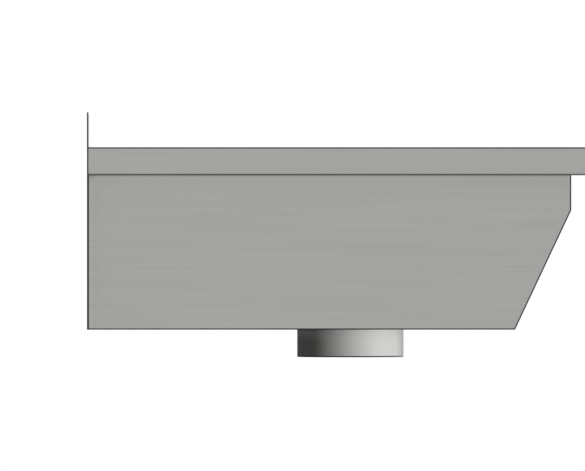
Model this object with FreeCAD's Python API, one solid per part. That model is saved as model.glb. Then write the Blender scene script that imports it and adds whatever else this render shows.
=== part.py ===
import FreeCAD, Part
import math
import os

from FreeCAD import Vector

# A wall-hung wash trough of folded stainless sheet, in millimetres.
# The wall is the plane y = 0 and the room lies on the -y side. x runs along the wall,
# with x = 0 at mid-length, and z = 0 is the top of the rim.

# Overall sizes
trough_length = 900.0           # rim end to rim end
trough_depth = 360.0            # wall to the front of the rim
body_height = 130.0             # rim top down to the bottom edge of the end panels
upstand_height = 25.0           # back sheet above the rim
back_corner_radius = 6.0        # every corner of the back sheet
sheet = 1.0                     # thickness of every folded sheet

# Rim, the same section along the front and both ends
rim_overhang = 15.0             # rim beyond the body
rim_height = 20.0               # depth of the apron
rim_lip = 5.0                   # safe edge turned in under the apron
rim_bend_radius = 1.0           # inside radius of the rim's folds

# Bowl
back_ledge_depth = 30.0         # wall to the rear face of the bowl's back wall
ledge_flange = 10.0             # fold of the ledge against the back panel
front_drop = 25.0               # upright part of the front, below the rim
slope_run = 40.0                # how far the sloping front leans in on its way down
bowl_bend_radius = 6.0          # inside radius of the bowl's folds
floor_fall = 8.0                # rise of the floor from near the outlet to the far end
level_margin = 24.0             # level floor left round the outlet seat, before the fall starts

# End panels
end_flange = 12.0               # fold of each end panel against the back panel

# Outlet, near the left end
outlet_diameter = 76.1
outlet_wall = 2.0
outlet_length = 20.0            # below the bottom edge of the end panels
outlet_chamfer = 0.4
outlet_from_wall = 188.5
outlet_from_end = 75.0          # from the outer face of the left end panel
recess_depth = 4.0              # pressed seat for the strainer, below the floor
recess_radius = 52.0            # flat part of that seat
recess_wall_run = 4.0           # how far the seat's sloping wall spreads on its way up
recess_edge_radius = 2.0        # inside radius where the seat's wall meets the floor

# Wall brackets, hidden between the back panel and the bowl
bracket_from_end = 200.0        # rim end to the middle of the bracket
bracket_plate = 3.0
bracket_web_width = 50.0
bracket_foot_width = 22.0
bracket_height = 80.0
bracket_bend_radius = 1.5       # inside radius
fixing_level = -70.0            # middle of the wall fixings, below the rim
fixing_rise = 50.0              # upper fixing above the lower one
fixing_hole = 9.0               # for 8 mm wall screws
stud_diameter = 6.0
stud_hole = 6.6
stud_rise = 40.0                # upper stud above the lower one
stud_tip = 2.0                  # stud past its nut
washer_diameter = 12.0
washer_bore = 6.4
washer_thickness = 1.6
nut_width = 10.0                # across flats
nut_height = 5.0
nut_bore = 6.2

# Underside of the floor
pad_length = 170.0
pad_width = 190.0
pad_thickness = 3.0
pad_corner_radius = 15.0
pad_gap = 45.0                  # from the floor stiffener to the nearest pad edge
stiffener_width = 60.0          # over its two feet
stiffener_crown = 30.0
stiffener_height = 5.0
stiffener_end_gap = 15.0        # from its ends to the bowl's folds

# Lift-out strainer
seal_thickness = 1.5
seal_inner_radius = 38.5
seal_outer_radius = 48.0
basket_sheet = 0.8
basket_flange_radius = 49.0
basket_top_radius = 32.0
basket_bottom_radius = 29.5
basket_depth = 17.5             # flange top to the underside
basket_edge_radius = 1.6        # inside radius
basket_hole = 5.0
basket_rings = ((11.0, 8), (20.0, 14))      # radius and count of the holes in the bottom
basket_side_holes = 20
basket_side_levels = (0.38, 0.68)           # share of the depth, from the flange down
knob_radius = 11.0
knob_height = 9.0
knob_edge_radius = 3.0
stem_radius = 4.0
stem_foot_radius = 7.0
stem_foot_height = 1.6
stem_height = 24.0              # basket bottom to the underside of the knob
screw_diameter = 5.0
screw_head_radius = 4.5
screw_head_height = 2.4
screw_length = 14.0             # below the head
screw_clearance = 0.1           # radial, in the stem
screw_washer_radius = 6.5
screw_washer_thickness = 1.0
screw_hole = 5.5                # in the basket and its washer

# Places that follow from the sizes
end_x = trough_length / 2
body_x = end_x - rim_overhang               # outer face of the end panels
bowl_x = body_x - sheet                     # inner face of the end panels
body_front = trough_depth - rim_overhang    # outer face of the bowl's front
bottom_z = -body_height
slope_top_z = -(rim_height + front_drop)
slope_angle = math.atan(slope_run / (slope_top_z - bottom_z))
floor_z = bottom_z + recess_depth           # underside of the floor at its lowest
outlet_x = -body_x + outlet_from_end
outlet_y = -outlet_from_wall
outlet_radius = outlet_diameter / 2
outlet_bore_radius = outlet_radius - outlet_wall
fall_start_x = outlet_x + recess_radius + recess_wall_run + level_margin
fall_run = bowl_x - fall_start_x
fall_angle = math.degrees(math.atan(floor_fall / fall_run))
seat_z = bottom_z + sheet                   # face that the strainer's seal lies on
basket_top_z = seat_z + seal_thickness + basket_sheet
basket_bottom_z = basket_top_z - basket_depth
bracket_xs = (bracket_from_end - end_x, end_x - bracket_from_end)
fixing_zs = (fixing_level - fixing_rise / 2, fixing_level + fixing_rise / 2)
stud_zs = (fixing_level - stud_rise / 2, fixing_level + stud_rise / 2)
stud_reach = bracket_web_width / 2 + bracket_foot_width / 2
same_place = 1e-6               # tolerance when an edge is picked by its place


def box(x_low, x_high, y_low, y_high, z_low, z_high):
    size = Vector(x_high - x_low, y_high - y_low, z_high - z_low)
    return Part.makeBox(size.x, size.y, size.z, Vector(x_low, y_low, z_low))


def cylinder(radius, base, height, direction=Vector(0, 0, 1)):
    return Part.makeCylinder(radius, height, base, direction)


def prism(points, sweep):
    """A solid from a closed outline of points, carried along the vector sweep."""
    outline = Part.makePolygon(points + points[:1])
    return Part.Face(outline).extrude(sweep)


def edges_on(solid, **place):
    """The edges whose two ends both lie at the given x, y or z."""
    found = []
    for edge in solid.Edges:
        misses = [
            abs(getattr(vertex.Point, axis) - value)
            for vertex in edge.Vertexes
            for axis, value in place.items()
        ]
        if max(misses) < same_place:
            found.append(edge)
    return found


def fused(*solids):
    return solids[0].fuse(list(solids[1:])).removeSplitter()


def back_panel():
    """Flat sheet on the wall, as long as the rim, rising past it as the upstand, with the fixing holes."""
    panel = box(-end_x, end_x, -sheet, 0, bottom_z, upstand_height)
    corners = [
        edge
        for x in (-end_x, end_x)
        for z in (bottom_z, upstand_height)
        for edge in edges_on(panel, x=x, z=z)
    ]
    return panel.makeFillet(back_corner_radius, corners).cut(wall_fixing_holes())


def wall_fixing_holes():
    reach = sheet + bracket_plate
    holes = [
        cylinder(fixing_hole / 2, Vector(x, -reach, z), reach, Vector(0, 1, 0))
        for x in bracket_xs
        for z in fixing_zs
    ]
    return Part.makeCompound(holes)


def bowl_block(inset):
    """The space inside the bowl sheet's outer face, drawn in by inset on every side but the top."""
    low_z = floor_z + inset
    back_y = -(back_ledge_depth + inset)
    front_y = -(body_front - inset)
    bend_z = slope_top_z + inset * math.tan(slope_angle / 2)
    toe_y = front_y + (bend_z - low_z) * math.tan(slope_angle)
    section = [
        Vector(-bowl_x, back_y, -sheet),
        Vector(-bowl_x, back_y, low_z),
        Vector(-bowl_x, toe_y, low_z),
        Vector(-bowl_x, front_y, bend_z),
        Vector(-bowl_x, front_y, -sheet),
    ]
    block = prism(section, Vector(2 * bowl_x, 0, 0))
    wedge = prism(
        [
            Vector(fall_start_x, front_y, low_z),
            Vector(bowl_x, front_y, low_z),
            Vector(bowl_x, front_y, low_z + floor_fall),
        ],
        Vector(0, back_y - front_y, 0),
    )
    block = block.cut(wedge)
    return block.makeFillet(bowl_bend_radius + sheet - inset, lengthwise_folds(block))


def lengthwise_folds(block):
    """Edges along the bowl below its top: back to floor, floor to slope, slope to upright front."""
    folds = []
    for edge in block.Edges:
        start, end = (vertex.Point for vertex in edge.Vertexes)
        run = end - start
        lengthwise = abs(run.x) > max(abs(run.y), abs(run.z))
        below_top = max(start.z, end.z) < -sheet - same_place
        if lengthwise and below_top:
            folds.append(edge)
    return folds


def with_recess(block, inset):
    """The block with the dished outlet seat let into its floor, drawn in by inset, its brim rounded."""
    wall_angle = math.atan2(recess_depth, recess_wall_run)
    low_radius = recess_radius + (sheet - inset) * math.tan(wall_angle / 2)
    top_radius = low_radius + recess_depth / math.tan(wall_angle)
    base = Vector(outlet_x, outlet_y, bottom_z + inset)
    sunk = block.fuse(Part.makeCone(low_radius, top_radius, recess_depth, base))
    brim = round_edges(sunk, top_radius, floor_z + inset)
    return sunk.makeFillet(recess_edge_radius + inset, brim)


def trough_sheet():
    """Bowl sheet: back wall, falling floor with the pressed outlet seat, sloping front, upright front."""
    outside = with_recess(bowl_block(0), 0)
    inside = with_recess(bowl_block(sheet), sheet)
    bore = cylinder(outlet_bore_radius, Vector(outlet_x, outlet_y, bottom_z), recess_depth)
    return outside.cut(inside).cut(bore)


def end_panel(side):
    """Flat end plate with the trough's outline and a fold against the back panel. side is -1 or 1."""
    outline = [
        Vector(side * bowl_x, -sheet, -sheet),
        Vector(side * bowl_x, -body_front, -sheet),
        Vector(side * bowl_x, -body_front, slope_top_z),
        Vector(side * bowl_x, -(body_front - slope_run), bottom_z),
        Vector(side * bowl_x, -sheet, bottom_z),
    ]
    plate = prism(outline, Vector(side * sheet, 0, 0))
    inner_x = side * (bowl_x - end_flange)
    low_x, high_x = sorted((inner_x, side * bowl_x))
    fold = box(low_x, high_x, -2 * sheet, -sheet, bottom_z, -(sheet + ledge_flange))
    return fused(plate, fold)


def rim_section(length_start, length_end):
    """Straight run of rim along x, with its apron on the -y side: top, apron and turned-in lip."""
    front_y = -trough_depth
    top = box(length_start, length_end, front_y, -(body_front - sheet), -sheet, 0)
    apron = box(length_start, length_end, front_y, front_y + sheet, -rim_height, 0)
    lip = box(length_start, length_end, front_y, front_y + rim_lip, -rim_height, -rim_height + sheet)
    rail = fused(top, apron, lip)
    outer = edges_on(rail, y=front_y, z=0) + edges_on(rail, y=front_y, z=-rim_height)
    rail = rail.makeFillet(rim_bend_radius + sheet, outer)
    inner_y = front_y + sheet
    inner = edges_on(rail, y=inner_y, z=-sheet) + edges_on(rail, y=inner_y, z=-rim_height + sheet)
    return rail.makeFillet(rim_bend_radius, inner)


def corner_prism(side):
    """Region on the end's side of the mitre plane that runs out through a front corner of the rim."""
    reach = trough_depth
    corner = Vector(side * end_x, -trough_depth, -body_height)
    points = [
        corner + Vector(side * reach, -reach, 0),
        corner + Vector(-side * reach, reach, 0),
        corner + Vector(side * reach, reach, 0),
    ]
    return prism(points, Vector(0, 0, 2 * body_height))


def front_rim_rail():
    rail = rim_section(-end_x, end_x)
    return rail.cut(corner_prism(-1)).cut(corner_prism(1))


def end_rim_rail(side):
    """The front rail's section along one end, mitred at the front and butted against the back panel."""
    run = rim_section(-trough_depth, trough_depth)
    run.translate(Vector(0, trough_depth, 0))
    run.rotate(Vector(0, 0, 0), Vector(0, 0, 1), side * 90)
    run.translate(Vector(side * end_x, -trough_depth, 0))
    room_side = box(-end_x, end_x, -trough_depth, -sheet, bottom_z, 0)
    return run.common(corner_prism(side)).common(room_side)


def back_ledge():
    """Flat ledge from the back panel to the bowl, with a fold down the back panel."""
    top = box(-bowl_x, bowl_x, -(back_ledge_depth + sheet), -sheet, -sheet, 0)
    fold = box(-bowl_x, bowl_x, -2 * sheet, -sheet, -(sheet + ledge_flange), 0)
    return fused(top, fold)


def wall_bracket(x):
    """Hat-section bracket: web on the back panel, feet on the bowl's back wall."""
    web_half = bracket_web_width / 2
    foot_x = web_half + bracket_foot_width
    inner_half = web_half - bracket_plate
    wall_y, bowl_y = -sheet, -back_ledge_depth
    half = [
        (web_half, wall_y),
        (web_half, bowl_y + bracket_plate),
        (foot_x, bowl_y + bracket_plate),
        (foot_x, bowl_y),
        (inner_half, bowl_y),
        (inner_half, wall_y - bracket_plate),
    ]
    low_z = fixing_level - bracket_height / 2
    right = [Vector(x + dx, y, low_z) for dx, y in half]
    left = [Vector(x - dx, y, low_z) for dx, y in reversed(half)]
    hat = prism(right + left, Vector(0, 0, bracket_height))
    outside_radius = bracket_bend_radius + bracket_plate
    bends = (
        (web_half, wall_y, outside_radius),
        (inner_half, wall_y - bracket_plate, bracket_bend_radius),
        (web_half, bowl_y + bracket_plate, bracket_bend_radius),
        (inner_half, bowl_y, outside_radius),
    )
    for dx, y, radius in bends:
        hat = hat.makeFillet(radius, edges_on(hat, x=x - dx, y=y) + edges_on(hat, x=x + dx, y=y))
    stud_holes = [
        cylinder(stud_hole / 2, Vector(stud_x, bowl_y, z), bracket_plate, Vector(0, 1, 0))
        for stud_x, z in stud_places(x)
    ]
    return hat.cut(Part.makeCompound(stud_holes)).cut(wall_fixing_holes())


def stud_places(x):
    return [(x + side * stud_reach, z) for side in (-1, 1) for z in stud_zs]


def on_every_stud(make):
    """One copy of the piece that make(x, z) gives, at each stud of both brackets."""
    return Part.makeCompound([make(x, z) for bracket_x in bracket_xs for x, z in stud_places(bracket_x)])


def bracket_stud(x, z):
    length = bracket_plate + washer_thickness + nut_height + stud_tip
    return cylinder(stud_diameter / 2, Vector(x, -back_ledge_depth, z), length, Vector(0, 1, 0))


def bracket_washer(x, z):
    base = Vector(x, -back_ledge_depth + bracket_plate, z)
    disc = cylinder(washer_diameter / 2, base, washer_thickness, Vector(0, 1, 0))
    return disc.cut(cylinder(washer_bore / 2, base, washer_thickness, Vector(0, 1, 0)))


def bracket_nut(x, z):
    base = Vector(x, -back_ledge_depth + bracket_plate + washer_thickness, z)
    corner = nut_width / 2 / math.cos(math.radians(30))
    angles = [math.radians(60 * k) for k in range(6)]
    hexagon = [base + Vector(corner * math.cos(a), 0, corner * math.sin(a)) for a in angles]
    body = prism(hexagon, Vector(0, nut_height, 0))
    return body.cut(cylinder(nut_bore / 2, base, nut_height, Vector(0, 1, 0)))


def under_floor(solid):
    """Lays a solid drawn under z = 0, with x counted from the start of the fall, against the floor."""
    solid.rotate(Vector(0, 0, 0), Vector(0, 1, 0), -fall_angle)
    solid.translate(Vector(fall_start_x, 0, floor_z))
    return solid


def flat_floor_ys():
    """Front and back limits of the floor's flat part, between its two folds."""
    toe = body_front - (slope_top_z - floor_z) * math.tan(slope_angle)
    fold = bowl_bend_radius + sheet
    return -(toe - fold), -(back_ledge_depth + fold)


def damping_pad(direction):
    """Flat pad bonded under the floor, on one side of the stiffener. direction is -1 or 1."""
    near = fall_run / 2 + direction * (stiffener_width / 2 + pad_gap)
    low_x, high_x = sorted((near, near + direction * pad_length))
    middle = sum(flat_floor_ys()) / 2
    pad = box(low_x, high_x, middle - pad_width / 2, middle + pad_width / 2, -pad_thickness, 0)
    uprights = [edge for edge in pad.Edges if abs(edge.tangentAt(edge.FirstParameter).z) > same_place]
    return under_floor(pad.makeFillet(pad_corner_radius, uprights))


def floor_stiffener():
    """Hat-section rib across the middle of the sloping floor, short of the bowl's back and front folds."""
    half_foot, half_crown = stiffener_width / 2, stiffener_crown / 2
    right = [
        (half_foot, 0),
        (half_foot, -sheet),
        (half_crown, -sheet),
        (half_crown, -stiffener_height),
    ]
    inside = [
        (half_crown - sheet, -stiffener_height + sheet),
        (half_crown - sheet, 0),
    ]
    front_y, back_y = flat_floor_ys()
    length = back_y - front_y - 2 * stiffener_end_gap
    outline = right + [(-dx, z) for dx, z in reversed(right)]
    outline += [(-dx, z) for dx, z in reversed(inside)] + inside
    points = [Vector(fall_run / 2 + dx, front_y + stiffener_end_gap, z) for dx, z in outline]
    return under_floor(prism(points, Vector(0, length, 0)))


def outlet_spigot():
    """Plain tube stub, butted under the recess."""
    base = Vector(outlet_x, outlet_y, bottom_z - outlet_length)
    bore = cylinder(outlet_bore_radius, base, outlet_length)
    tube = cylinder(outlet_radius, base, outlet_length).cut(bore)
    mouth = round_edges(tube, outlet_radius, base.z) + round_edges(tube, outlet_bore_radius, base.z)
    return tube.makeChamfer(outlet_chamfer, mouth)


def turned(profile):
    """Solid of revolution about the outlet's axis from (radius, z) points."""
    points = [Vector(outlet_x + radius, outlet_y, z) for radius, z in profile]
    face = Part.Face(Part.makePolygon(points + points[:1]))
    return face.revolve(Vector(outlet_x, outlet_y, 0), Vector(0, 0, 1), 360)


def round_edges(solid, radius_at, z):
    """Level circular edges of a solid at one radius and height."""
    found = []
    for edge in solid.Edges:
        if edge.Curve.TypeId != "Part::GeomCircle":
            continue
        level = abs(edge.Vertexes[0].Z - z) < same_place
        if level and abs(edge.Curve.Radius - radius_at) < same_place:
            found.append(edge)
    return found


def strainer_seal():
    return turned([
        (seal_inner_radius, seat_z),
        (seal_outer_radius, seat_z),
        (seal_outer_radius, seat_z + seal_thickness),
        (seal_inner_radius, seat_z + seal_thickness),
    ])


def strainer_basket():
    """Pressed cup with a flange, and drain holes through its bottom and side."""
    flange_low = basket_top_z - basket_sheet
    inner_low = basket_bottom_z + basket_sheet
    cup = turned([
        (basket_flange_radius, flange_low),
        (basket_flange_radius, basket_top_z),
        (basket_top_radius - basket_sheet, basket_top_z),
        (basket_bottom_radius - basket_sheet, inner_low),
        (screw_hole / 2, inner_low),
        (screw_hole / 2, basket_bottom_z),
        (basket_bottom_radius, basket_bottom_z),
        (basket_top_radius, flange_low),
    ])
    outer_radius, inner_radius = basket_edge_radius + basket_sheet, basket_edge_radius
    cup = cup.makeFillet(outer_radius, round_edges(cup, basket_bottom_radius, basket_bottom_z))
    cup = cup.makeFillet(inner_radius, round_edges(cup, basket_bottom_radius - basket_sheet, inner_low))
    cup = cup.makeFillet(outer_radius, round_edges(cup, basket_top_radius - basket_sheet, basket_top_z))
    cup = cup.makeFillet(inner_radius, round_edges(cup, basket_top_radius, flange_low))
    return cup.cut(Part.makeCompound(basket_bottom_holes() + basket_side_hole_bores()))


def basket_bottom_holes():
    holes = []
    for ring_radius, count in basket_rings:
        for k in range(count):
            angle = 2 * math.pi * k / count
            x = outlet_x + ring_radius * math.cos(angle)
            y = outlet_y + ring_radius * math.sin(angle)
            holes.append(cylinder(basket_hole / 2, Vector(x, y, basket_bottom_z), basket_sheet))
    return holes


def basket_side_hole_bores():
    bores = []
    for row, level in enumerate(basket_side_levels):
        z = basket_top_z - level * basket_depth
        for k in range(basket_side_holes):
            angle = 2 * math.pi * (k + row / 2) / basket_side_holes
            outward = Vector(math.cos(angle), math.sin(angle), 0)
            start = Vector(outlet_x, outlet_y, z) + outward * (basket_bottom_radius - basket_hole)
            bores.append(cylinder(basket_hole / 2, start, 2 * basket_hole, outward))
    return bores


def strainer_knob():
    """Turned knob on a footed stem, bored from below for its screw."""
    foot_z = basket_bottom_z + basket_sheet
    knob_z = foot_z + stem_height
    hole = screw_diameter / 2 + screw_clearance
    hole_top = basket_bottom_z - screw_washer_thickness + screw_length + stem_foot_height
    knob = turned([
        (hole, foot_z),
        (stem_foot_radius, foot_z),
        (stem_foot_radius, foot_z + stem_foot_height),
        (stem_radius, foot_z + stem_foot_height),
        (stem_radius, knob_z),
        (knob_radius, knob_z),
        (knob_radius, knob_z + knob_height),
        (0, knob_z + knob_height),
        (0, hole_top),
        (hole, hole_top),
    ])
    edges = round_edges(knob, knob_radius, knob_z) + round_edges(knob, knob_radius, knob_z + knob_height)
    return knob.makeFillet(knob_edge_radius, edges)


def knob_washer():
    low_z = basket_bottom_z - screw_washer_thickness
    return turned([
        (screw_hole / 2, low_z),
        (screw_washer_radius, low_z),
        (screw_washer_radius, basket_bottom_z),
        (screw_hole / 2, basket_bottom_z),
    ])


def knob_screw():
    under_head = basket_bottom_z - screw_washer_thickness
    shank_radius = screw_diameter / 2
    return turned([
        (0, under_head - screw_head_height),
        (screw_head_radius, under_head - screw_head_height),
        (screw_head_radius, under_head),
        (shank_radius, under_head),
        (shank_radius, under_head + screw_length),
        (0, under_head + screw_length),
    ])


def all_parts():
    return {
        "back_panel": back_panel(),
        "trough_sheet": trough_sheet(),
        "left_end_panel": end_panel(-1),
        "right_end_panel": end_panel(1),
        "front_rim_rail": front_rim_rail(),
        "left_rim_rail": end_rim_rail(-1),
        "right_rim_rail": end_rim_rail(1),
        "back_ledge": back_ledge(),
        "left_wall_bracket": wall_bracket(bracket_xs[0]),
        "right_wall_bracket": wall_bracket(bracket_xs[1]),
        "bracket_studs": on_every_stud(bracket_stud),
        "bracket_washers": on_every_stud(bracket_washer),
        "bracket_nuts": on_every_stud(bracket_nut),
        "floor_stiffener": floor_stiffener(),
        "left_damping_pad": damping_pad(-1),
        "right_damping_pad": damping_pad(1),
        "outlet_spigot": outlet_spigot(),
        "strainer_seal": strainer_seal(),
        "strainer_basket": strainer_basket(),
        "strainer_knob": strainer_knob(),
        "knob_washer": knob_washer(),
        "knob_screw": knob_screw(),
    }


os.makedirs("parts", exist_ok=True)
for name, shape in all_parts().items():
    state = "valid" if shape.isValid() else "NOT VALID"
    print(f"{name}: {len(shape.Solids)} solid(s), {shape.Volume:.1f} mm3, {state}")
    shape.exportStep(f"parts/{name}.step")
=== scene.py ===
import bpy
import math
import numpy as np
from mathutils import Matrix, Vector


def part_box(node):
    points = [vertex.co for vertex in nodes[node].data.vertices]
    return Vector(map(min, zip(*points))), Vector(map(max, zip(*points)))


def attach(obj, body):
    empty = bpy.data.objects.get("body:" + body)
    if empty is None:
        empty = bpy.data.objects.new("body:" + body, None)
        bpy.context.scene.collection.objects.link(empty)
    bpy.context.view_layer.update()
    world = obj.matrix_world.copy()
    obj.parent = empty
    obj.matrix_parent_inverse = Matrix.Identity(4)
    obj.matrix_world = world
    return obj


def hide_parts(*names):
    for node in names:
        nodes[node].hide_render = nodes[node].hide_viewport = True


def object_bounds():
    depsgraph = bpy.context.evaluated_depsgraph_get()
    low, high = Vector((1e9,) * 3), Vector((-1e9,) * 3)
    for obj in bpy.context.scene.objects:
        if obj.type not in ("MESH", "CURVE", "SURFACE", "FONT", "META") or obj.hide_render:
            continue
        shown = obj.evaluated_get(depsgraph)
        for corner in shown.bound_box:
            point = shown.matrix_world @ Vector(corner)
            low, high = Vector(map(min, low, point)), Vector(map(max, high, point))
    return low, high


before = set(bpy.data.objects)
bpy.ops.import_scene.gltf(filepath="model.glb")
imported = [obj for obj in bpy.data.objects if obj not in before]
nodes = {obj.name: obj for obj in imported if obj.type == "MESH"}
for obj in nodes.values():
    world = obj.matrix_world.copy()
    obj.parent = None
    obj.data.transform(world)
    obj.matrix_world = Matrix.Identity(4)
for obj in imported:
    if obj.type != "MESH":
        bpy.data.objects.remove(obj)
cadLow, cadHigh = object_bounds()
print("frame loaded,", len(nodes), "pieces")


# node helpers: every shader tree below is wired with these

def plug(tree, socket, value):
    # links a socket, or sets it when the value is plain
    if isinstance(value, bpy.types.NodeSocket):
        tree.links.new(value, socket)
    else:
        socket.default_value = value


def addNode(tree, kind, inputs=None, **settings):
    # one node with its settings, then its inputs
    node = tree.nodes.new(kind)
    for key, value in settings.items():
        setattr(node, key, value)
    for key, value in (inputs or {}).items():
        plug(tree, node.inputs[key], value)
    return node


def calc(tree, operation, first, second=0.0):
    # a Math node: first operation second
    return addNode(tree, "ShaderNodeMath", {0: first, 1: second}, operation=operation).outputs[0]


def vectorCalc(tree, operation, first, second=(0, 0, 0)):
    # a Vector Math node: first operation second, component by component
    return addNode(tree, "ShaderNodeVectorMath", {0: first, 1: second}, operation=operation).outputs[0]


def vectorValue(tree, operation, first, second=(0, 0, 0)):
    # a Vector Math node whose result is a number
    node = addNode(tree, "ShaderNodeVectorMath", {0: first, 1: second}, operation=operation)
    return node.outputs["Value"]


def split(tree, vector):
    # x, y and z of a vector
    return addNode(tree, "ShaderNodeSeparateXYZ", {0: vector}).outputs


def mixColour(tree, mask, base, over, blend="MIX"):
    # base where the mask is 0, and over, or base blended with it, where the mask is 1
    inputs = {0: mask, 6: base, 7: over}
    return addNode(tree, "ShaderNodeMix", inputs, data_type="RGBA", blend_type=blend).outputs[2]


def shaded(tree, colour, brightness):
    # a colour times a brightness
    return mixColour(tree, 1.0, colour, brightness, "MULTIPLY")


def ramp(tree, value, fromLow, fromHigh, toLow, toHigh):
    # value carried from one range to another, eased at both ends
    inputs = {0: value, 1: fromLow, 2: fromHigh, 3: toLow, 4: toHigh}
    return addNode(tree, "ShaderNodeMapRange", inputs, interpolation_type="SMOOTHSTEP").outputs[0]


def opaque(colour):
    # red, green and blue with full cover
    return (*colour, 1)


def newMaterial(name):
    # a new material, its node tree, its shader and the place on the object
    material = bpy.data.materials.new(name)
    material.use_nodes = True
    tree = material.node_tree
    place = addNode(tree, "ShaderNodeTexCoord").outputs["Object"]
    return material, tree, tree.nodes["Principled BSDF"], place


def newGroup(name, inputs, outputs):
    # an empty node group with named sockets: (name, kind, default)
    group = bpy.data.node_groups.new(name, "ShaderNodeTree")
    for socketName, kind, default in inputs:
        socket = group.interface.new_socket(socketName, in_out="INPUT", socket_type="NodeSocket" + kind)
        socket.default_value = default
    for socketName in outputs:
        group.interface.new_socket(socketName, in_out="OUTPUT", socket_type="NodeSocketFloat")
    return group, group.nodes.new("NodeGroupInput").outputs, group.nodes.new("NodeGroupOutput").inputs


def placeGroup(tree, group, **inputs):
    # one copy of a group in a material, with its own values
    node = addNode(tree, "ShaderNodeGroup", node_tree=group)
    for key, value in inputs.items():
        plug(tree, node.inputs[key], value)
    return node.outputs


# shared effects

brush = {
    "along": 8.0,                           # streaks per metre along the grain and across it
    "across": 900.0,
    "detail": 3.0,                          # finer layers of noise in the streaks
    "contrast": 0.03,                       # share of the colour that the streaks change
    "streakSpan": (0.25, 0.75),             # noise of the darkest and of the lightest streak
    "haze": 6.0,                            # soft patches per metre, which change the roughness
    "hazeDetail": 1.0,
    "hazeSpan": (0.2, 0.8),                 # noise of the smoothest and of the roughest patch
}


def brushGrainGroup():
    # noise stretched along the grain: the place times a small scale along it and a large one across
    group, given, result = newGroup(
        "brushGrain",
        [
            ("Position", "Vector", (0, 0, 0)),
            ("Scale", "Vector", (brush["along"], brush["across"], brush["across"])),
        ],
        ["Streak", "Haze"],
    )
    stretched = vectorCalc(group, "MULTIPLY", given["Position"], given["Scale"])
    fine = {"Vector": stretched, "Scale": 1.0, "Detail": brush["detail"]}
    soft = {"Vector": given["Position"], "Scale": brush["haze"], "Detail": brush["hazeDetail"]}
    streak = addNode(group, "ShaderNodeTexNoise", fine)
    haze = addNode(group, "ShaderNodeTexNoise", soft)
    group.links.new(streak.outputs["Fac"], result["Streak"])
    group.links.new(haze.outputs["Fac"], result["Haze"])
    return group


edgeLine = {
    "solid": 0.7,                           # share of a line's width that is fully dark
    "margin": 0.2,                          # widths past a box's faces at which its lines end
}


def lineAt(tree, distance, width):
    # 1 up to the solid share of the width, easing to 0 at the width
    return ramp(tree, distance, calc(tree, "MULTIPLY", width, edgeLine["solid"]), width, 1.0, 0.0)


def foldLineGroup():
    # how near a point is to an edge of a box: the second smallest of its distances to the box's x, y and z
    # faces, each first times its stretch, turned into a line of the given width, and none past the margin
    group, given, result = newGroup(
        "foldLine",
        [
            ("Position", "Vector", (0, 0, 0)),
            ("Low", "Vector", (0, 0, 0)),
            ("High", "Vector", (1, 1, 1)),
            ("Stretch", "Vector", (1, 1, 1)),
            ("Width", "Float", 0.001),
        ],
        ["Line"],
    )
    toLow = vectorCalc(group, "SUBTRACT", given["Position"], given["Low"])
    toHigh = vectorCalc(group, "SUBTRACT", given["High"], given["Position"])
    inside = vectorCalc(group, "MINIMUM", toLow, toHigh)
    x, y, z = split(group, vectorCalc(group, "MULTIPLY", inside, given["Stretch"]))
    lesser = calc(group, "MINIMUM", x, y)
    greater = calc(group, "MAXIMUM", x, y)
    second = calc(group, "MAXIMUM", lesser, calc(group, "MINIMUM", greater, z))
    outside = calc(group, "MULTIPLY", given["Width"], -edgeLine["margin"])
    within = calc(group, "GREATER_THAN", calc(group, "MINIMUM", lesser, z), outside)
    line = calc(group, "MULTIPLY", within, lineAt(group, second, given["Width"]))
    group.links.new(line, result["Line"])
    return group


def sideLineGroup():
    # how near a point is to the straight side from Start to End, seen along the axis that Flat sets to 0:
    # the share of the way along the side, kept between 0 and 1, gives its nearest point
    group, given, result = newGroup(
        "sideLine",
        [
            ("Position", "Vector", (0, 0, 0)),
            ("Start", "Vector", (0, 0, 0)),
            ("End", "Vector", (1, 0, 0)),
            ("Flat", "Vector", (1, 1, 1)),
            ("Width", "Float", 0.001),
        ],
        ["Line"],
    )
    offset = vectorCalc(group, "SUBTRACT", given["Position"], given["Start"])
    fromStart = vectorCalc(group, "MULTIPLY", offset, given["Flat"])
    whole = vectorCalc(group, "SUBTRACT", given["End"], given["Start"])
    side = vectorCalc(group, "MULTIPLY", whole, given["Flat"])
    along = vectorValue(group, "DOT_PRODUCT", fromStart, side)
    square = vectorValue(group, "DOT_PRODUCT", side, side)
    share = addNode(group, "ShaderNodeMath", {0: along, 1: square}, operation="DIVIDE", use_clamp=True)
    reach = {0: side, "Scale": share.outputs[0]}
    nearest = addNode(group, "ShaderNodeVectorMath", reach, operation="SCALE").outputs["Vector"]
    away = vectorValue(group, "DISTANCE", fromStart, nearest)
    group.links.new(lineAt(group, away, given["Width"]), result["Line"])
    return group


def ringLineGroup():
    # how near a point is to a level circle: the larger of its distances from the circle's radius and
    # from its level, turned into a line of the given width
    group, given, result = newGroup(
        "ringLine",
        [
            ("Position", "Vector", (0, 0, 0)),
            ("Centre", "Vector", (0, 0, 0)),
            ("Radius", "Float", 0.04),
            ("Width", "Float", 0.001),
        ],
        ["Line"],
    )
    x, y, z = split(group, vectorCalc(group, "SUBTRACT", given["Position"], given["Centre"]))
    squares = calc(group, "ADD", calc(group, "MULTIPLY", x, x), calc(group, "MULTIPLY", y, y))
    offRadius = calc(group, "SUBTRACT", calc(group, "SQRT", squares), given["Radius"])
    away = calc(group, "MAXIMUM", calc(group, "ABSOLUTE", offRadius), calc(group, "ABSOLUTE", z))
    group.links.new(lineAt(group, away, given["Width"]), result["Line"])
    return group


brushGrain = brushGrainGroup()
foldLine = foldLineGroup()
sideLine = sideLineGroup()
ringLine = ringLineGroup()
print("shader groups made")

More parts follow.
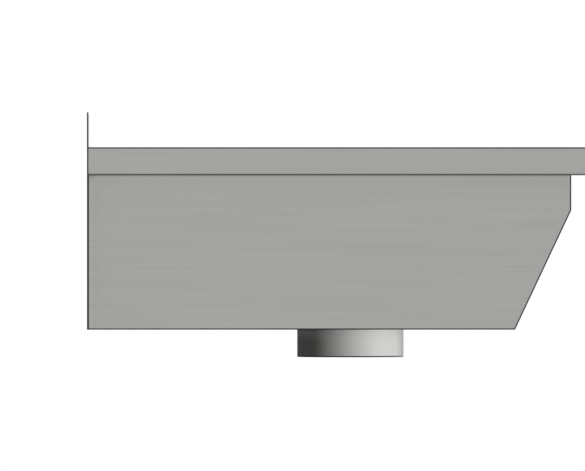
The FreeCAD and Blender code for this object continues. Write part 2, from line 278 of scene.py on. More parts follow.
steel = {
    "outside": (0.375, 0.370, 0.360),       # mill-finish sheet
    "inside": (0.530, 0.525, 0.515),        # the bowl's inside: polished, and lighter also as painted light for its dimly lit inside
    "line": (0.035, 0.035, 0.035),          # sheared edges and fold lines
    "lineWidth": 0.0011,
    "foldWidth": 0.0012,
    "footTrim": 0.0004,                     # narrows the line along the rim's foot
    "bendStretch": 0.4,                     # widens the line across a fold, so that it covers the bend
    "roughness": (0.278, 0.310),
    "paintedCornerLight": 0.32,                     # painted light: gain of the end plates' colour in the corners that rim and wall shade, which cancels that shade
    "paintedLightReach": 0.006,                     # from the rim's foot and the back sheet
}


def grainAlong(*axes):
    # streak scale: small along the named axes, large along the others
    return tuple(brush["along"] if axis in axes else brush["across"] for axis in "xyz")


def boxLine(box, stretch=(1, 1, 1)):
    # a line along the edges of a box of low and high corners
    def build(tree, place):
        low, high = box
        return placeGroup(
            tree, foldLine, Position=place, Low=low, High=high, Stretch=stretch, Width=steel["foldWidth"]
        )["Line"]
    return build


def outerBox(nodeName):
    # a rail's box carried on to the wall and past mid-length, so that no line runs along the bowl's edge
    # or the back sheet, and a little below its foot
    low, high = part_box(nodeName)
    return (min(low.x, 0), low.y, low.z - steel["footTrim"]), (max(high.x, 0), 0, high.z)


def circleLine(centre, radius):
    # a line along a level circle
    def build(tree, place):
        return placeGroup(
            tree, ringLine, Position=place, Centre=centre, Radius=radius, Width=steel["lineWidth"]
        )["Line"]
    return build


def mitreLine(across):
    # a line along the planes where |x| - |y| equals across
    def build(tree, place):
        x, y = split(tree, vectorCalc(tree, "ABSOLUTE", place))[:2]
        off = calc(tree, "SUBTRACT", calc(tree, "SUBTRACT", x, y), across)
        return lineAt(tree, calc(tree, "ABSOLUTE", off), steel["lineWidth"])
    return build


def outlineOf(corners, flat):
    # a line along the sides of a flat sheet: the strongest of the lines from each corner to the next
    def build(tree, place):
        mask = None
        for begin, finish in zip(corners, corners[1:]):
            line = placeGroup(
                tree, sideLine, Position=place, Start=begin, End=finish, Flat=flat, Width=steel["lineWidth"]
            )["Line"]
            mask = line if mask is None else calc(tree, "MAXIMUM", mask, line)
        return mask
    return build


def behindEnd(faceX):
    # 1 on the end panels' inner faces, which lie nearer to mid-length than faceX
    def build(tree, place):
        x = split(tree, vectorCalc(tree, "ABSOLUTE", place))[0]
        return calc(tree, "LESS_THAN", x, faceX)
    return build


def paintedCornerLight(foot, wall):
    # painted light that cancels the shade under the rim and beside the wall: brightness = 1 + lift times the
    # square of (1 - distance over reach), measured from the rim's foot or the back sheet, whichever is
    # nearer
    def build(tree, place):
        y, z = split(tree, place)[1:]
        nearer = calc(tree, "MINIMUM", calc(tree, "SUBTRACT", foot, z), calc(tree, "SUBTRACT", wall, y))
        share = calc(tree, "SUBTRACT", 1.0, calc(tree, "DIVIDE", nearer, steel["paintedLightReach"]))
        square = calc(tree, "POWER", calc(tree, "MAXIMUM", share, 0.0), 2.0)
        return calc(tree, "ADD", 1.0, calc(tree, "MULTIPLY", square, steel["paintedCornerLight"]))
    return build


def facingIn(middle):
    # 1 where the surface faces a point over the outlet: its normal times the way out from there is negative
    def build(tree, place):
        outward = vectorCalc(tree, "SUBTRACT", place, middle)
        normal = addNode(tree, "ShaderNodeNewGeometry").outputs["True Normal"]
        return calc(tree, "LESS_THAN", vectorValue(tree, "DOT_PRODUCT", normal, outward), 0.0)
    return build


def satinSteel(
    name, grainScale, lines=(), inside=None, lift=None, colour=steel["outside"], roughness=steel["roughness"]
):
    # the colour, or the inside one (polished, and lighter also as painted light) where inside is 1, a little
    # lighter and darker in the streaks, lighter by the lift, which is painted light that cancels shade, and
    # dark along the lines
    material, tree, shader, place = newMaterial(name)
    grain = placeGroup(tree, brushGrain, Position=place, Scale=grainScale)
    change = brush["contrast"]
    brightness = ramp(tree, grain["Streak"], *brush["streakSpan"], 1 - change, 1 + change)
    finish = opaque(colour)
    if inside is not None:
        finish = mixColour(tree, inside(tree, place), finish, opaque(steel["inside"]))
    if lift is not None:
        brightness = calc(tree, "MULTIPLY", brightness, lift(tree, place))
    finish = shaded(tree, finish, brightness)
    for line in lines:
        finish = mixColour(tree, line(tree, place), finish, opaque(steel["line"]))
    tree.links.new(finish, shader.inputs["Base Color"])
    tree.links.new(ramp(tree, grain["Haze"], *brush["hazeSpan"], *roughness), shader.inputs["Roughness"])
    shader.inputs["Metallic"].default_value = 1.0
    return material


def galvanised(name, colour, roughness, spangle, swing):
    # zinc crystals: a cell pattern whose cells differ in brightness, by the swing, and in roughness
    material, tree, shader, place = newMaterial(name)
    cells = addNode(tree, "ShaderNodeTexVoronoi", {"Vector": place, "Scale": spangle}).outputs["Color"]
    crystal = split(tree, cells)[0]
    finish = shaded(tree, opaque(colour), ramp(tree, crystal, 0.0, 1.0, 1 - swing, 1 + swing))
    tree.links.new(finish, shader.inputs["Base Color"])
    tree.links.new(ramp(tree, crystal, 0.0, 1.0, *roughness), shader.inputs["Roughness"])
    shader.inputs["Metallic"].default_value = 1.0
    return material


rubber = {
    "lighter": 1.8,                         # brightness of the lightest specks over that of the darkest
    "detail": 4.0,                          # finer layers of noise in the specks
    "bump": 0.4,                            # strength and depth of the specks' relief
    "bumpDepth": 0.0004,
}


def mattRubber(name, colour, roughness, speckle):
    # dark rubber: the colour mottled by a fine noise, which also bumps the surface
    material, tree, shader, place = newMaterial(name)
    specks = {"Vector": place, "Scale": speckle, "Detail": rubber["detail"]}
    noise = addNode(tree, "ShaderNodeTexNoise", specks).outputs["Fac"]
    light = opaque(rubber["lighter"] * part for part in colour)
    tree.links.new(mixColour(tree, noise, opaque(colour), light), shader.inputs["Base Color"])
    relief = {"Height": noise, "Strength": rubber["bump"], "Distance": rubber["bumpDepth"]}
    bump = addNode(tree, "ShaderNodeBump", relief).outputs["Normal"]
    tree.links.new(bump, shader.inputs["Normal"])
    shader.inputs["Roughness"].default_value = roughness
    return material


def finishNode(nodeName, material):
    # a CAD piece keeps its mesh and gets one material
    slots = nodes[nodeName].data.materials
    slots.clear()
    slots.append(material)


gauge = 0.001                               # thickness of the folded steel
panelLow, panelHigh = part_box("left_end_panel")
bowlLow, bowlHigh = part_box("trough_sheet")
frontLow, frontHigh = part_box("front_rim_rail")
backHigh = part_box("back_panel")[1]
spigotLow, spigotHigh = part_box("outlet_spigot")
spigotCentre = (spigotLow + spigotHigh) / 2
spigotRadius = (spigotHigh.x - spigotLow.x) / 2
bodyX = -panelLow.x                         # outer face of the end panels
bottomZ = panelLow.z
slope = {"top": -0.045, "run": 0.040}       # where the sloping front starts, and how far it leans in
floorRise = 0.008                           # floor at the right end above the outlet's level
seatDepth = 0.004                           # the outlet's pressed seat below the floor

panelBack = panelHigh.y + steel["lineWidth"] / 2      # half of the line is behind the back sheet's edge
panelCorners = [
    (0, panelBack, panelHigh.z),
    (0, panelBack, bottomZ),
    (0, panelLow.y + slope["run"], bottomZ),
    (0, panelLow.y, slope["top"]),
    (0, panelLow.y, panelHigh.z),
]
backCorner = {"radius": 0.006, "points": 5}
# along a rounded corner of the back sheet: x, and the distance from the upper or lower edge
quarter = [
    (backHigh.x - backCorner["radius"] * (1 - math.cos(turn)), backCorner["radius"] * (1 - math.sin(turn)))
    for turn in np.linspace(0, np.pi / 2, backCorner["points"])
]
rightBack = [(x, 0, bottomZ + inset) for x, inset in reversed(quarter)]
rightBack += [(x, 0, backHigh.z - inset) for x, inset in quarter]
backCorners = rightBack + [(-x, y, z) for x, y, z in reversed(rightBack)] + rightBack[:1]
bend = steel["bendStretch"]
mitre = mitreLine(frontHigh.x + frontLow.y)
overOutlet = (spigotCentre.x, spigotCentre.y, slope["top"])

# the bowl's inside gets the lighter inside colour, which is partly painted light for its dim inside
finishNode("trough_sheet", satinSteel("bowlSteel", grainAlong("x"), inside=facingIn(overOutlet)))
finishNode("back_panel", satinSteel("backSteel", grainAlong("x"), [outlineOf(backCorners, (1, 0, 1))]))
finishNode("back_ledge", satinSteel("ledgeSteel", grainAlong("x")))
finishNode("front_rim_rail", satinSteel(
    "frontRimSteel", grainAlong("x"), [boxLine(outerBox("front_rim_rail"), (1, bend, 1)), mitre]))
for side in ("left", "right"):
    # the end plates carry painted light: lighter under the rim and beside the wall, against the shade there
    finishNode(side + "_end_panel", satinSteel(
        side + "EndSteel", grainAlong("y"), [outlineOf(panelCorners, (0, 1, 1))],
        behindEnd(bodyX - gauge / 2), paintedCornerLight(frontLow.z, panelHigh.y)))
    finishNode(side + "_rim_rail", satinSteel(
        side + "RimSteel", grainAlong("y"), [boxLine(outerBox(side + "_rim_rail"), (bend, 1, 1)), mitre]))
finishNode("outlet_spigot", satinSteel(
    "outletSteel", grainAlong("x", "y"),
    [circleLine((spigotCentre.x, spigotCentre.y, spigotLow.z), spigotRadius)]))

fittings = {
    "bracketColour": (0.42, 0.43, 0.44),
    "bracketRoughness": (0.40, 0.52),
    "spangle": 260.0,                       # zinc crystals per metre
    "spangleSwing": 0.18,                   # share of the colour by which they differ
    "fastenerColour": (0.50, 0.50, 0.49),
    "fastenerRoughness": (0.20, 0.26),
    "strainerColour": (0.55, 0.55, 0.54),
    "strainerRoughness": (0.12, 0.20),
    "padColour": (0.018, 0.018, 0.020),
    "padRoughness": 0.85,
    "padSpeckle": 700.0,                    # specks per metre
    "sealColour": (0.010, 0.010, 0.010),
    "sealRoughness": 0.55,
    "sealSpeckle": 1500.0,
}


def fittingSteel(name, kind):
    # steel of a fitting, from its colour and roughness above
    colour, roughness = fittings[kind + "Colour"], fittings[kind + "Roughness"]
    return satinSteel(name, grainAlong("x", "y"), colour=colour, roughness=roughness)


def fittingRubber(name, kind):
    # rubber of a fitting, from its colour, roughness and specks above
    return mattRubber(name, *(fittings[kind + part] for part in ("Colour", "Roughness", "Speckle")))


bracketSteel = galvanised(
    "bracketSteel", fittings["bracketColour"], fittings["bracketRoughness"],
    fittings["spangle"], fittings["spangleSwing"])
fastenerSteel = fittingSteel("fastenerSteel", "fastener")
strainerSteel = fittingSteel("strainerSteel", "strainer")
ribSteel = satinSteel("ribSteel", grainAlong("y"))
weldSteel = satinSteel("weldSteel", grainAlong("y", "z"), colour=steel["inside"])
beadSteel = satinSteel("beadSteel", grainAlong("x", "y"))
padRubber = fittingRubber("padRubber", "pad")
sealRubber = fittingRubber("sealRubber", "seal")
for material, names in (
    (bracketSteel, ("left_wall_bracket", "right_wall_bracket")),
    (ribSteel, ("floor_stiffener",)),
    (fastenerSteel, ("bracket_studs", "bracket_washers", "bracket_nuts", "knob_washer", "knob_screw")),
    (strainerSteel, ("strainer_basket", "strainer_knob")),
    (padRubber, ("left_damping_pad", "right_damping_pad")),
    (sealRubber, ("strainer_seal",)),
):
    for nodeName in names:
        finishNode(nodeName, material)
print("materials placed")


# modelled pieces

def quads(rows, columns, wrapRows):
    # corners of the faces between neighbouring grid points: each row closes on itself, the last row
    # joins the first where the rows wrap
    index = np.arange(rows * columns).reshape(rows, columns)
    below, right = np.roll(index, -1, axis=0), np.roll(index, -1, axis=1)
    faces = np.stack([index, right, np.roll(below, -1, axis=1), below], axis=-1)
    return faces[:None if wrapRows else -1].reshape(-1, 4)


def volumeUnder(loops):
    # six times the volume between the origin and faces given by their corners, each fanned from its first
    return np.sum(loops[:, :1] * np.cross(loops[:, 1:-1], loops[:, 2:]))


foldAngle = 40.0            # degrees between two faces from which their edge is drawn sharp


def makePiece(name, points, body, material, wrapRows=False, sharp=foldAngle):
    # grids of points, one for each copy, become closed shells: faces between neighbours, each row a closed
    # loop, a cap on the first and last row where the rows don't wrap, and all faces turned to make the
    # volume positive
    copies, rows, columns = points.shape[:3]
    flat = points.reshape(-1, 3)
    starts = np.arange(copies)[:, None] * rows * columns
    sides = (quads(rows, columns, wrapRows)[None] + starts[:, :, None]).reshape(-1, 4)
    firstCaps = starts + np.arange(columns)[::-1]
    lastCaps = starts + (rows - 1) * columns + np.arange(columns)
    groups = [sides] if wrapRows else [sides, firstCaps, lastCaps]
    outward = sum(volumeUnder(flat[group]) for group in groups) > 0
    faces = [face if outward else face[::-1] for group in groups for face in group.tolist()]
    mesh = bpy.data.meshes.new(name)
    mesh.from_pydata(flat.tolist(), [], faces)
    mesh.polygons.foreach_set("use_smooth", np.ones(len(faces), dtype=bool))
    mesh.set_sharp_from_angle(angle=math.radians(sharp))
    mesh.materials.append(material)
    piece = bpy.data.objects.new(name, mesh)
    bpy.context.scene.collection.objects.link(piece)
    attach(piece, body)
    return piece


def roundedPath(corners, radius, steps):
    # an open path through flat corners, each but the ends replaced by an arc of the radius:
    # the arc starts and ends radius times the tangent of half the turn away from the corner
    points = [np.array(corners[:1], dtype=float)]
    for before, corner, after in zip(corners, corners[1:], corners[2:]):
        arrive = np.subtract(corner, before) / np.hypot(*np.subtract(corner, before))
        leave = np.subtract(after, corner) / np.hypot(*np.subtract(after, corner))
        turn = math.atan2(arrive[0] * leave[1] - arrive[1] * leave[0], float(arrive @ leave))
        begin = np.array(corner) - arrive * radius * math.tan(abs(turn) / 2)
        normal = math.copysign(1, turn) * np.array([-arrive[1], arrive[0]])
        angle = np.linspace(0, abs(turn), steps)[:, None]
        points.append(begin + radius * (np.sin(angle) * arrive + (1 - np.cos(angle)) * normal))
    points.append(np.array(corners[-1:], dtype=float))
    return np.concatenate(points)


cornerWeld = {
    "radius": 0.0025,       # of the hollow weld in the bowl's inside corners
    "bendRadius": 0.006,    # of the bowl's folds, inside
    "sink": 0.0003,         # how far the weld's hidden corner reaches into the sheets
    "topGap": 0.0002,       # from the weld's ends to the rim's top
    "bendSteps": 9,
    "roundSteps": 8,
}


def placeCornerWeld(side, name):
    # a hollow quarter round carried along the bowl's inside section, against one end panel
    end = bodyX - gauge
    back, front = bowlHigh.y - gauge, bowlLow.y + gauge
    lean = math.atan2(slope["run"], slope["top"] - bottomZ)
    floorZ = bottomZ + seatDepth + gauge + (floorRise if side > 0 else 0.0)
    slopeZ = slope["top"] + gauge * math.tan(lean / 2)
    toe = front + (slopeZ - floorZ) * math.tan(lean)
    top = -cornerWeld["topGap"]
    path = roundedPath([(back, top), (back, floorZ), (toe, floorZ), (front, slopeZ), (front, top)],
                       cornerWeld["bendRadius"], cornerWeld["bendSteps"])
    run = np.gradient(path, axis=0)
    run /= np.linalg.norm(run, axis=1, keepdims=True)
    inward = np.stack([run[:, 1], -run[:, 0]], axis=1)
    radius, sink = cornerWeld["radius"], cornerWeld["sink"]
    angle = np.linspace(0, np.pi / 2, cornerWeld["roundSteps"])
    lift = np.concatenate([[-sink], radius * (1 - np.cos(angle))])
    reach = np.concatenate([[-sink], radius * (1 - np.sin(angle))])
    place = path[:, None] + inward[:, None] * lift[None, :, None]
    x = np.broadcast_to(side * (end - reach), place.shape[:2])
    makePiece(name, np.concatenate([x[..., None], place], axis=2)[None], "trough", weldSteel)


placeCornerWeld(-1, "left_corner_weld")
placeCornerWeld(1, "right_corner_weld")


def turned(radius, level, centre, count):
    # a ring of count points at each (radius, level) of a profile, about an upright axis
    angle = np.linspace(0, 2 * np.pi, count, endpoint=False)
    x = centre[0] + np.outer(radius, np.cos(angle))
    y = centre[1] + np.outer(radius, np.sin(angle))
    return np.stack([x, y, np.broadcast_to(np.asarray(level)[:, None], x.shape)], axis=-1)[None]


outletWeld = {
    "leg": 0.0010,          # how far the weld reaches down the tube
    "spread": 0.000999,     # and out along the seat
    "sink": 0.0003,         # how far the weld's hidden corner reaches into tube and seat
    "ripples": 110,
    "rippleDepth": 0.00012,
    "roundSteps": 9,
    "around": 440,
}


def placeOutletWeld():
    # a hollow fillet between the outlet's tube and the seat above it, its face rippled round the ring
    sink = outletWeld["sink"]
    angle = np.linspace(0, np.pi / 2, outletWeld["roundSteps"])
    out = np.concatenate([[-sink], outletWeld["spread"] * (1 - np.cos(angle))])
    down = np.concatenate([[-sink], outletWeld["leg"] * (1 - np.sin(angle))])
    bead = turned(spigotRadius + out, spigotHigh.z - down, spigotCentre, outletWeld["around"])
    around = np.linspace(0, 2 * np.pi, outletWeld["around"], endpoint=False)
    belly = np.concatenate([[0], np.sin(2 * angle)])
    swell = outletWeld["rippleDepth"] * np.outer(belly, np.cos(outletWeld["ripples"] * around))
    bead[0, :, :, 2] -= swell
    makePiece("outlet_weld", bead, "trough", beadSteel, wrapRows=True)


placeOutletWeld()
print("welds made")


studs = {
    "rise": 0.040,          # upper stud above the lower one
    "spread": 0.072,        # between the two columns of studs of one bracket
    "pitch": 0.001,
    "threadDepth": 0.00032,
    "turnSteps": 24,
    "stepsPerPitch": 6,
    "tip": 0.0008,          # length of the tapered tip
}


def studBox():
    # the stud node's corners, and a stud's radius: half of the node's height less the rise
    low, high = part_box("bracket_studs")
    return low, high, (high.z - low.z - studs["rise"]) / 2


def studPlaces():
    # x and z of the eight studs: two each side of each bracket's middle, read from the stud node's corners
    low, high, radius = studBox()
    x = np.array([low.x + radius, high.x - radius])
    x = np.concatenate([x, x + np.array([1, -1]) * studs["spread"]])
    z = np.array([low.z + radius, high.z - radius])
    return np.stack(np.meshgrid(x, z), axis=-1).reshape(-1, 2)


def alongWall(radius, depth, angle):
    # points about an axis along y: x and z from the radius and angle, y from the depth
    x, z = radius * np.cos(angle), radius * np.sin(angle)
    return np.stack([x, np.broadcast_to(depth, radius.shape), z], axis=-1)


def atStuds(shape):
    # one copy of a shape about the y axis at each stud
    x, z = studPlaces().T
    offset = np.stack([x, np.zeros_like(x), z], axis=1)
    return shape[None] + offset[:, None, None, :]


def threadGroove(depth, angle, pitch):
    # 0 on a thread's crest and 1 in its root: a triangle wave of (depth over pitch - turns)
    phase = (depth / pitch - angle / (2 * np.pi)) % 1
    return 1 - np.abs(2 * phase - 1)


def placeStuds():
    # radius = full radius less the thread's depth times the groove, and drawn in over the tip
    low, high, radius = studBox()
    length = high.y - low.y
    depth = np.linspace(0, length, int(length / studs["pitch"] * studs["stepsPerPitch"]) + 1)[:, None]
    angle = np.linspace(0, 2 * np.pi, studs["turnSteps"], endpoint=False)[None]
    taper = np.clip((length - depth) / studs["tip"], 0, 1)
    thread = radius - studs["threadDepth"] * threadGroove(depth, angle, studs["pitch"])
    thread = np.minimum(thread, radius - 2 * studs["threadDepth"] * (1 - taper))
    shape = alongWall(thread, low.y + depth, angle)
    piece = makePiece("threaded_studs", atStuds(shape), "trough", fastenerSteel)
    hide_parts("bracket_studs")


nuts = {
    "acrossFlats": 0.010,
    "faceWidth": 0.0095,    # across the round faces that the trimmed corners leave
    "trimAngle": 30.0,      # degrees
    "trimShare": 0.16,      # of the thickness, at each face, that the cone can reach
    "trimSteps": 4,
    "bore": 0.0062,
    "mouth": 0.0003,        # the bore's countersink, wide and deep
    "around": 48,
    "sharp": 25.0,          # degrees
}


def hexagonRadius(acrossFlats, angle):
    # a hexagon's radius at each angle, with a corner at angle 0: half the flats over the cosine of the
    # angle from mid-flat
    return acrossFlats / 2 / np.cos(angle % (np.pi / 3) - np.pi / 6)


def placeNuts():
    # outer radius = the lesser of the hexagon's and that of a cone which trims its corners at both faces;
    # the rows run up the outside and back down the bore
    low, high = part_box("bracket_nuts")
    thickness = high.y - low.y
    angle = np.linspace(0, 2 * np.pi, nuts["around"], endpoint=False)
    fromFace = np.linspace(0, nuts["trimShare"], nuts["trimSteps"]) * thickness
    cone = nuts["faceWidth"] / 2 + fromFace / math.tan(math.radians(nuts["trimAngle"]))
    lower = np.minimum(hexagonRadius(nuts["acrossFlats"], angle)[None], cone[:, None])
    bore, mouth = nuts["bore"] / 2, nuts["mouth"]
    boreRadius = np.array([bore + mouth, bore, bore, bore + mouth])
    boreDepth = np.array([thickness, thickness - mouth, mouth, 0])
    depth = np.concatenate([fromFace, thickness - fromFace[::-1], boreDepth])[:, None]
    radius = np.concatenate([lower, lower[::-1], np.repeat(boreRadius[:, None], nuts["around"], axis=1)])
    shape = alongWall(radius, low.y + depth, angle[None])
    piece = makePiece(
        "bracket_hex_nuts", atStuds(shape), "trough", fastenerSteel,
        wrapRows=True, sharp=nuts["sharp"])
    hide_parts("bracket_nuts")


placeStuds()
placeNuts()
print("studs and nuts made")

pads = {
    "corner": 0.015,
    "thickness": 0.003,
    "squares": (10, 11),    # pressed squares along the trough and across it
    "groove": 0.0011,       # depth of the grooves between them
    "flatness": 4,          # power that keeps the squares flat up to their edges
    "squareSteps": (0, 0.01, 0.04, 0.1, 0.2, 0.35, 0.5, 0.65, 0.8, 0.9, 0.96, 0.99),
}


def placePad(nodeName, name):
    # at each y the lower face spans the half width that the rounded corners leave, and hangs down by the
    # thickness less the groove's depth times 1 - (1 - u^4)(1 - v^4), with u and v from -1 to 1 over a
    # square, and 4 the flatness; the upper face is flat, and all is turned to the floor's fall, which the
    # node's box shows: its height less the thickness, over its length
    low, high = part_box(nodeName)
    middle = (low + high) / 2
    halfX, halfY = (high.x - low.x) / 2, (high.y - low.y) / 2
    steps = np.array(pads["squareSteps"])
    spread = [
        np.append((np.arange(count)[:, None] + steps).ravel(), count) for count in pads["squares"]
    ]
    bulgeX, bulgeY = (1 - np.abs(2 * (place % 1) - 1) ** pads["flatness"] for place in spread)
    shareX, shareY = (2 * place / count - 1 for place, count in zip(spread, pads["squares"]))
    y = shareY * halfY
    corner = pads["corner"]
    intoCorner = np.maximum(np.abs(y) - (halfY - corner), 0)
    halfWidth = halfX - corner + np.sqrt(corner ** 2 - intoCorner ** 2)
    loopX = np.concatenate([shareX, [1, -1]])
    x = np.outer(halfWidth, loopX)
    z = pads["groove"] * (1 - np.outer(bulgeY, bulgeX)) - pads["thickness"] / 2
    top = np.full((len(y), 2), pads["thickness"] / 2)
    z = np.concatenate([z, top], axis=1)
    fall = math.atan2(high.z - low.z - pads["thickness"], high.x - low.x)
    points = np.stack([
        middle.x + x * math.cos(fall) - z * math.sin(fall),
        np.broadcast_to((middle.y + y)[:, None], x.shape),
        middle.z + x * math.sin(fall) + z * math.cos(fall),
    ], axis=-1)
    piece = makePiece(name, points[None], "trough", padRubber)
    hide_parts(nodeName)


placePad("left_damping_pad", "left_embossed_pad")
placePad("right_damping_pad", "right_embossed_pad")
print("pads made")

sealRing = {"width": 0.0095, "edge": 0.0006, "steps": 24, "around": 192}


def placeSeal():
    # a flat ring with round edges: a small circle pulled apart at its quarters, turned about the outlet
    low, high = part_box("strainer_seal")
    edge = sealRing["edge"]
    angle = (np.arange(sealRing["steps"]) + 0.5) * 2 * np.pi / sealRing["steps"]
    halfWidth, halfHeight = sealRing["width"] / 2, (high.z - low.z) / 2
    across = np.sign(np.cos(angle)) * (halfWidth - edge) + edge * np.cos(angle)
    up = np.sign(np.sin(angle)) * (halfHeight - edge) + edge * np.sin(angle)
    radius = (high.x - low.x) / 2 - halfWidth + across
    points = turned(radius, low.z + halfHeight + up, (low + high) / 2, sealRing["around"])
    piece = makePiece("rounded_seal", points, "strainer", sealRubber, wrapRows=True)
    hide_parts("strainer_seal")


placeSeal()

knobScrew = {
    "shankRadius": 0.0025,
    "pitch": 0.0008,
    "threadDepth": 0.00025,
    "stepsPerPitch": 6,
    "turnSteps": 48,
    "headHeight": 0.0024,
    "headEdge": 0.0009,         # height of the head's upright edge, below the dome
    "socketRim": 0.0022,        # radius of the flat round the socket
    "socketFlats": 0.0030,
    "socketDepth": 0.0013,
    "domeSteps": 9,
    "sharp": 35.0,              # degrees
}


def placeKnobScrew():
    # from the tip down: a thread, cut as on the studs, the head's upright edge, a dome of a quarter
    # ellipse, the flat round the socket and the socket's six walls
    low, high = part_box("knob_screw")
    middle = (low + high) / 2
    headRadius = (high.x - low.x) / 2
    head = high.z - low.z - knobScrew["headHeight"]
    angle = np.linspace(0, 2 * np.pi, knobScrew["turnSteps"], endpoint=False)
    shank = np.linspace(0, head, int(head / knobScrew["pitch"] * knobScrew["stepsPerPitch"]) + 1)
    groove = threadGroove(shank[:, None], angle, knobScrew["pitch"])
    thread = knobScrew["shankRadius"] - knobScrew["threadDepth"] * groove
    rise = np.linspace(0, np.pi / 2, knobScrew["domeSteps"])
    rim, edge = knobScrew["socketRim"], knobScrew["headEdge"]
    dome = rim + (headRadius - rim) * np.cos(rise)
    domeDepth = head + edge + (knobScrew["headHeight"] - edge) * np.sin(rise)
    headRound = np.repeat(np.concatenate([[headRadius], dome])[:, None], len(angle), axis=1)
    socket = hexagonRadius(knobScrew["socketFlats"], angle)[None]
    end = head + knobScrew["headHeight"]
    depth = np.concatenate([shank, [head], domeDepth, [end, end - knobScrew["socketDepth"]]])
    radius = np.concatenate([thread, headRound, socket, socket])
    points = np.stack([
        middle.x + radius * np.cos(angle),
        middle.y + radius * np.sin(angle),
        np.broadcast_to((high.z - depth)[:, None], radius.shape),
    ], axis=-1)
    piece = makePiece(
        "socket_screw", points[None], "strainer", fastenerSteel, sharp=knobScrew["sharp"])
    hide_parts("knob_screw")


placeKnobScrew()
print("seal and screw made")

camera = {
    "lens": 1300.0,                 # mm, long enough to draw the end almost without perspective
    "sensor": 36.0,
    "pictureWidth": 0.4167,         # m across the picture, at the end panel
    "centre": (-0.1464, -0.0629),   # y and z at the middle of the picture
    "eye": (-0.0095, -0.022),       # y and z of the camera: near the wall, just below the rim's foot
    "clipStart": 0.1,
    "clipReach": 10,                # far end of what is drawn, in camera distances
}


def placeCamera(endX):
    # distance = picture width times lens over sensor; the camera looks from there at the picture's middle
    data = bpy.data.cameras.new("camera")
    data.lens = camera["lens"]
    data.sensor_width = camera["sensor"]
    distance = camera["pictureWidth"] * camera["lens"] / camera["sensor"]
    data.clip_start, data.clip_end = camera["clipStart"], camera["clipReach"] * distance
    rig = bpy.data.objects.new("camera", data)
    bpy.context.scene.collection.objects.link(rig)
    target = Vector((endX, *camera["centre"]))
    rig.location = Vector((endX - distance, *camera["eye"]))
    rig.rotation_euler = (target - rig.location).to_track_quat("-Z", "Y").to_euler()
    bpy.context.scene.camera = rig


placeCamera(panelLow.x)

studio = {
    "fill": 0.85,                   # share of the white world that lights matt surfaces
    "floorLevel": -0.85,            # below the rim, at the height that such a trough is hung
    "floorRadius": 4.0,
    "floorColour": (0.84, 0.84, 0.84),
    "floorRoughness": 0.9,
    "floorFade": 0.35,              # share of the radius from which the floor fades
    "softboxes": (                  # place, width and height, brightness added to the white background
        ((0.0, -3.2, 1.55), (8.0, 2.0), 0.55),      # high in front, for the inside of the bowl
        ((-0.9, -3.2, -0.05), (2.0, 1.0), 0.6),     # low in front, for the rim and the upright front
        ((0.0, -0.3, 2.8), (3.0, 2.0), 0.35),       # above
        ((0.0, 3.0, 1.5), (8.0, 1.8), 0.6),         # high behind, for the rim and the front wall's inside
    ),
    "aim": (0.0, -0.18, -0.05),     # all softboxes face this point
    "ringRadius": 0.072,            # card round the outlet, dark towards the wall, bright towards the room
    "ringHeight": 0.12,
    "ringGap": 0.001,               # below the end plates
    "ringPoints": 48,
    "ringMiddle": 0.99,             # brightness beside the outlet, and its change over a ring radius
    "ringSwing": 1.02,
    "ringLimits": (0.10, 1.70),     # least and greatest brightness
    "ringDim": 0.95,                # loss of brightness straight behind the outlet
    "ringTop": 0.6,                 # gain along the near top edge, as the tube mirrors the dark seat there
    "ringTopDepth": 0.008,
    "shadeSize": (2.6, 1.3),        # grey card on the floor, for the sloping front
    "shadeColour": 0.42,
    "shadeFade": 0.4,               # share of the way out from which the card fades
    "shadeGap": 0.01,               # above the floor
}


def stageSheet(name, points, faces, material):
    # a plain surface that belongs to the studio
    mesh = bpy.data.meshes.new(name)
    mesh.from_pydata(points, [], faces)
    mesh.materials.append(material)
    sheet = bpy.data.objects.new(name, mesh)
    bpy.context.scene.collection.objects.link(sheet)
    return sheet


def levelCard(name, halfX, halfY, material):
    # a level rectangle about the origin
    corners = [(-halfX, -halfY, 0), (halfX, -halfY, 0), (halfX, halfY, 0), (-halfX, halfY, 0)]
    return stageSheet(name, corners, [(0, 1, 2, 3)], material)


def onlyReflected(card):
    # a card that the camera, matt surfaces and shadows don't see
    card.visible_camera = False
    card.visible_diffuse = False
    card.visible_shadow = False


def floorMaterial():
    # pale matt floor that fades to clear towards its rim, so that it runs out into the white background,
    # and is clear from below
    material, tree, shader, place = newMaterial("paleFloor")
    shader.inputs["Base Color"].default_value = opaque(studio["floorColour"])
    shader.inputs["Roughness"].default_value = studio["floorRoughness"]
    radius = studio["floorRadius"]
    fade = ramp(tree, vectorValue(tree, "LENGTH", place), studio["floorFade"] * radius, radius, 1.0, 0.0)
    above = calc(tree, "SUBTRACT", 1.0, addNode(tree, "ShaderNodeNewGeometry").outputs["Backfacing"])
    tree.links.new(calc(tree, "MULTIPLY", fade, above), shader.inputs["Alpha"])
    return material


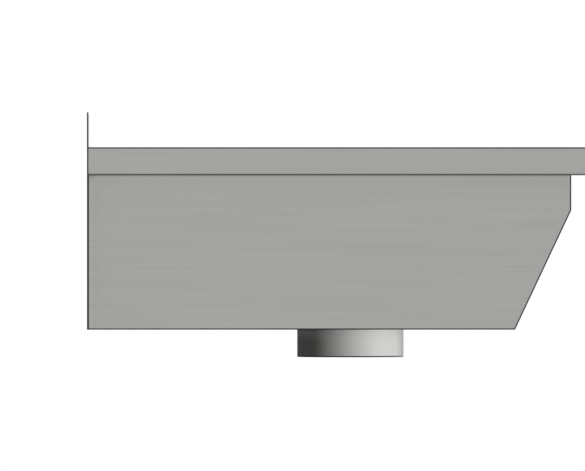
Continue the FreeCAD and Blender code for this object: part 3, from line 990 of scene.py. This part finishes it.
def ringMaterial(centre, topZ):
    # glow = middle - swing times the distance towards the wall, in ring radii, at most the upper limit,
    # less on the far side, more along the near side's top edge, and at least the lower limit
    material, tree, shader, place = newMaterial("outletCard")
    tree.nodes.remove(shader)
    x, y, z = split(tree, place)
    radius = studio["ringRadius"]
    toWall = calc(tree, "MULTIPLY", calc(tree, "SUBTRACT", y, centre.y), studio["ringSwing"] / radius)
    across = calc(tree, "DIVIDE", calc(tree, "SUBTRACT", x, centre.x), radius)
    dimmed = calc(tree, "MULTIPLY", calc(tree, "MAXIMUM", across, 0.0), studio["ringDim"])
    edge = ramp(tree, z, topZ - studio["ringTopDepth"], topZ, 0.0, studio["ringTop"])
    lifted = calc(tree, "MULTIPLY", calc(tree, "MINIMUM", across, 0.0), edge)
    least, most = studio["ringLimits"]
    front = calc(tree, "MINIMUM", calc(tree, "SUBTRACT", studio["ringMiddle"], toWall), most)
    share = calc(tree, "SUBTRACT", calc(tree, "SUBTRACT", 1.0, dimmed), lifted)
    strength = calc(tree, "MAXIMUM", calc(tree, "MULTIPLY", front, share), least)
    glow = addNode(tree, "ShaderNodeEmission", {"Strength": strength})
    tree.links.new(glow.outputs[0], tree.nodes["Material Output"].inputs["Surface"])
    return material


def placeFloor():
    # a level square, twice the floor's radius wide
    reach = studio["floorRadius"]
    floor = levelCard("floor", reach, reach, floorMaterial())
    floor.location.z = studio["floorLevel"]


def placeOutletCard(centre, topZ):
    # an upright ring about the outlet, below the bowl, that only reflections see
    count, radius = studio["ringPoints"], studio["ringRadius"]
    levels = [topZ, topZ - studio["ringHeight"]]
    points = turned([radius, radius], levels, centre, count).reshape(-1, 3)
    near = np.arange(count)
    far = np.roll(near, -1)
    faces = np.stack([near, far, far + count, near + count], axis=1)
    onlyReflected(stageSheet("outletCard", points.tolist(), faces.tolist(), ringMaterial(centre, topZ)))


def shadeMaterial():
    # grey glow that fades to clear towards the card's rim: the way out = length of place over half size
    material, tree, shader, place = newMaterial("shadeCard")
    shader.inputs["Base Color"].default_value = (0, 0, 0, 1)
    shader.inputs["Emission Color"].default_value = (1, 1, 1, 1)
    shader.inputs["Emission Strength"].default_value = studio["shadeColour"]
    shader.inputs["Specular IOR Level"].default_value = 0.0
    length, width = studio["shadeSize"]
    share = vectorCalc(tree, "MULTIPLY", place, (2 / length, 2 / width, 0))
    fade = ramp(tree, vectorValue(tree, "LENGTH", share), studio["shadeFade"], 1.0, 1.0, 0.0)
    tree.links.new(fade, shader.inputs["Alpha"])
    return material


def placeShadeCard(middleY):
    # a grey card just above the floor, under the trough, that only reflections see
    length, width = studio["shadeSize"]
    card = levelCard("shadeCard", length / 2, width / 2, shadeMaterial())
    card.location = (0, middleY, studio["floorLevel"] + studio["shadeGap"])
    onlyReflected(card)


def placeSoftbox(number, place, size, glow):
    # an area light shows as brightness energy over pi times area, on top of what lies behind it
    light = bpy.data.lights.new("softbox%d" % number, "AREA")
    light.shape = "RECTANGLE"
    light.size, light.size_y = size
    light.energy = glow * math.pi * size[0] * size[1]
    softbox = bpy.data.objects.new(light.name, light)
    softbox.location = place
    softbox.rotation_euler = (Vector(studio["aim"]) - softbox.location).to_track_quat("-Z", "Y").to_euler()
    softbox.visible_camera = False
    bpy.context.scene.collection.objects.link(softbox)


def placeStudio():
    # white world, weaker where it lights matt surfaces; pale floor; softboxes before, above and behind
    scene = bpy.context.scene
    scene.world = bpy.data.worlds.new("studio")
    scene.world.use_nodes = True
    tree = scene.world.node_tree
    path = addNode(tree, "ShaderNodeLightPath").outputs
    reflected = calc(tree, "MAXIMUM", path["Is Glossy Ray"], path["Is Transmission Ray"])
    seen = calc(tree, "MAXIMUM", path["Is Camera Ray"], reflected)
    strength = addNode(tree, "ShaderNodeMapRange", {0: seen, 3: studio["fill"], 4: 1.0}).outputs[0]
    background = tree.nodes["Background"]
    background.inputs["Color"].default_value = (1, 1, 1, 1)
    tree.links.new(strength, background.inputs["Strength"])
    scene.view_settings.view_transform = "Standard"
    placeFloor()
    placeOutletCard(spigotCentre, bottomZ - studio["ringGap"])
    placeShadeCard((cadLow.y + cadHigh.y) / 2)
    for number, (place, size, glow) in enumerate(studio["softboxes"]):
        placeSoftbox(number, place, size, glow)


placeStudio()
print("studio placed")

print("scene ready")
